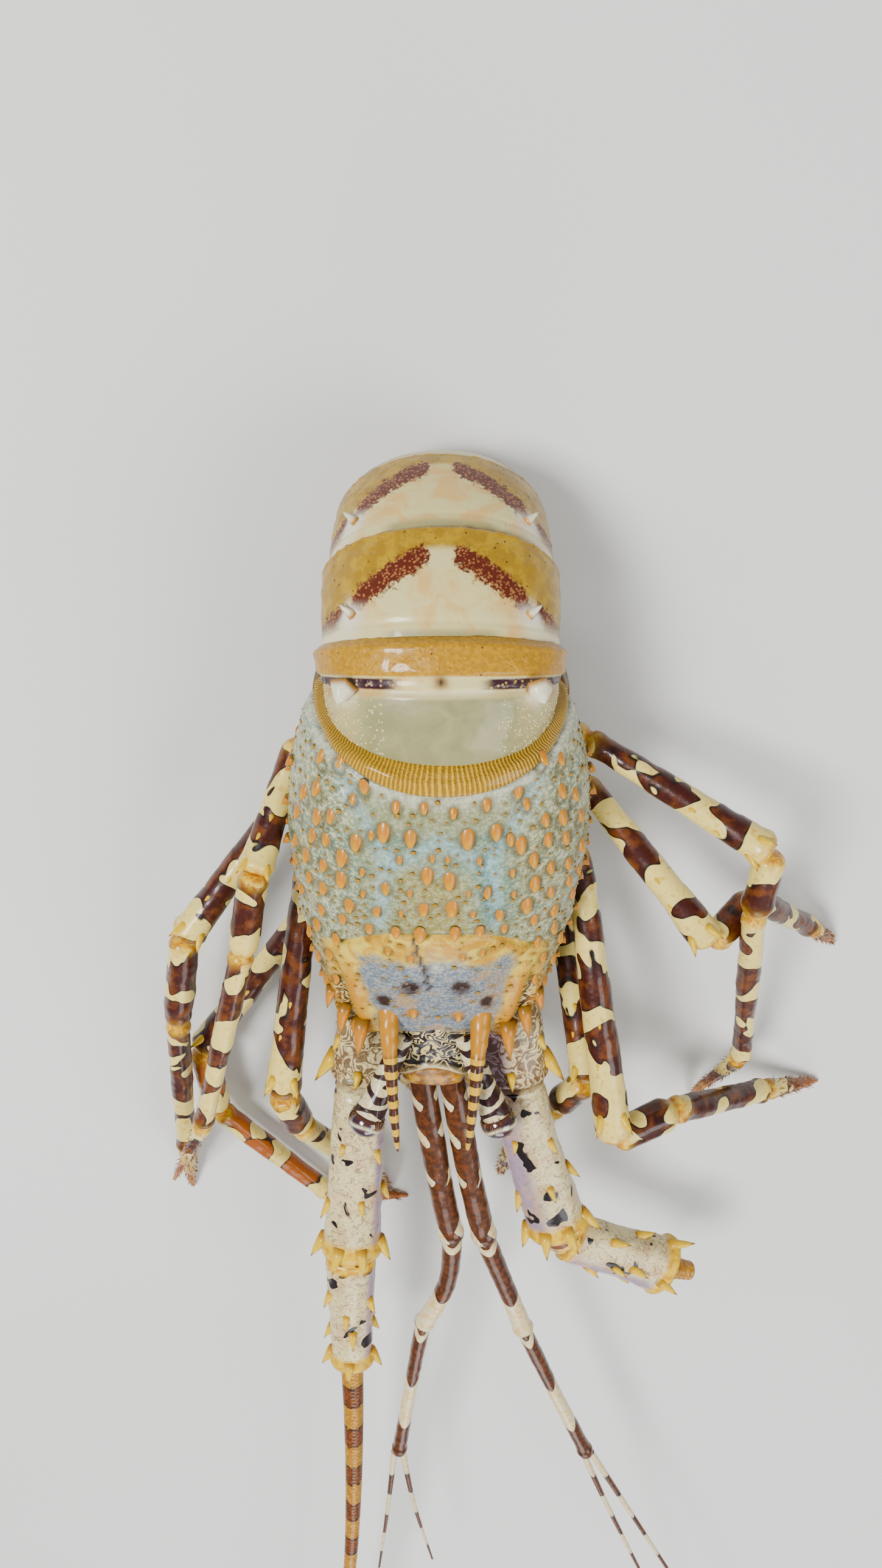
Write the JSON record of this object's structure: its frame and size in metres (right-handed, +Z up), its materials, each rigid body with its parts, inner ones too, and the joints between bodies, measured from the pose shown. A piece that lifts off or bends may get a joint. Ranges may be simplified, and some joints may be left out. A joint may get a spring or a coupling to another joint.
{
  "type": "spiny lobster",
  "caption": "Life-size still model of an ornate spiny lobster, tail curled under, with spiny shell, banded legs, antennae and antennules.",
  "frame": {"origin": "middle of the whole outline, at the floor that the tail fan and leg tips rest on", "axes": "+Z up, the head and antennae point to -Y, the animal's own left is +X"},
  "size_m": [0.2572, 0.716, 0.0879],
  "materials": {
    "shell": "wet grey-green shell with orange tubercles",
    "sternum": "pale yellow-brown shell",
    "mouth": "cream and brown mouth limbs",
    "eye": "dark glossy cornea on a banded stalk",
    "antenna": "cream and lilac with black blotches",
    "whip": "orange-brown ringed whip",
    "antennule": "dark brown with cream bands",
    "tail": "cream, tan and sage plates with dark dappled stripes",
    "fan": "olive and brown blades",
    "leg": "maroon legs blotched pale yellow"
  },
  "bodies": {
    "root": {"carapace": "shell", "sternum": "sternum", "horn_R": "shell", "horn_L": "shell", "abdomen_1": "tail", "abdomen_2": "tail", "abdomen_3": "tail", "abdomen_4": "tail", "abdomen_5": "tail", "abdomen_6": "tail", "telson": "fan", "uropod_L_in": "fan", "uropod_R_in": "fan", "uropod_L_out": "fan", "uropod_R_out": "fan", "leg_R1_upper": "leg", "leg_R1_lower": "leg", "leg_R2_upper": "leg", "leg_R2_lower": "leg", "leg_R3_upper": "leg", "leg_R3_lower": "leg", "leg_R4_upper": "leg", "leg_R4_lower": "leg", "leg_R5_upper": "leg", "leg_R5_lower": "leg", "leg_L1_upper": "leg", "leg_L1_lower": "leg", "leg_L2_upper": "leg", "leg_L2_lower": "leg", "leg_L3_upper": "leg", "leg_L3_lower": "leg", "leg_L4_upper": "leg", "leg_L4_lower": "leg", "leg_L5_upper": "leg", "leg_L5_lower": "leg", "antenna_R_base": "antenna", "antenna_R_arm": "antenna", "antenna_R_fore": "antenna", "antenna_L_base": "antenna", "antenna_L_arm": "antenna", "antenna_L_fore": "antenna", "antenna_R_whip_1": "whip", "antenna_R_whip_2": "whip", "antenna_R_whip_3": "whip", "antenna_L_whip_stub": "whip", "antennule_R_1": "antennule", "antennule_R_2": "antennule", "antennule_R_3": "antennule", "antennule_R_feeler_1": "antennule", "antennule_R_feeler_2": "antennule", "antennule_L_1": "antennule", "antennule_L_2": "antennule", "antennule_L_3": "antennule", "antennule_L_feeler_1": "antennule", "antennule_L_feeler_2": "antennule", "maxilliped_R": "mouth", "maxilliped_L": "mouth", "eye_R": "eye", "eye_L": "eye"}
  },
  "joints": []
}
